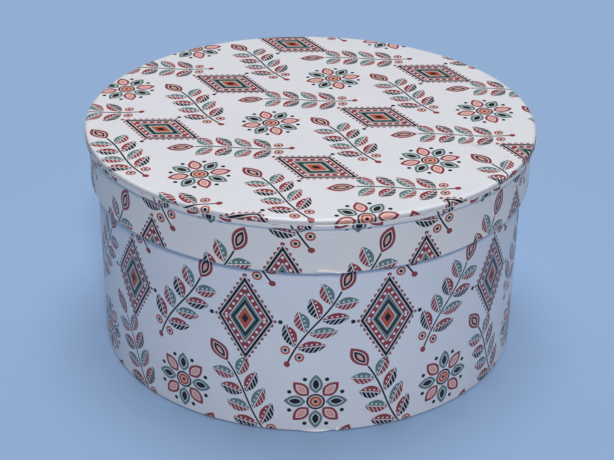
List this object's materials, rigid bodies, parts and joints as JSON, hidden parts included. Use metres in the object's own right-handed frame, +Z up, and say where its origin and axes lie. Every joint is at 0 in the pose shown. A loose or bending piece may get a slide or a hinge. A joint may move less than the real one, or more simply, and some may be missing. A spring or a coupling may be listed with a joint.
{
  "type": "round lidded box",
  "caption": "Round rigid gift box of paper-covered greyboard with a lift-off lid, whose top disc stands out past its rim in a small rounded lip.",
  "frame": {"origin": "centre of the base's underside, on the surface the box stands on", "axes": "+Z up along the box's axis; the paper strips close on themselves near +Y, so -Y is the front"},
  "size_m": [0.25, 0.25, 0.1295],
  "materials": {
    "printed_paper": "satin",
    "greyboard": "matte",
    "paper_tape": "matte",
    "lining_paper": "matte",
    "bottom_paper": "matte"
  },
  "bodies": {
    "base": {"base_wall_board": "greyboard", "base_seam_tape": "paper_tape", "base_floor_board": "greyboard", "base_wrap": "printed_paper", "base_bottom_sheet": "bottom_paper", "base_wall_lining": "lining_paper", "base_floor_lining": "lining_paper"},
    "lid": {"lid_top_board": "greyboard", "lid_rim_board": "greyboard", "lid_seam_tape": "paper_tape", "lid_top_sheet": "printed_paper", "lid_rim_wrap": "printed_paper", "lid_rim_lining": "lining_paper", "lid_top_lining": "lining_paper"}
  },
  "joints": [
    {"name": "lid_lift", "type": "slide", "parent": "base", "child": "lid", "axis": [0, 0, 1], "range_m": [0, 0.18]}
  ]
}
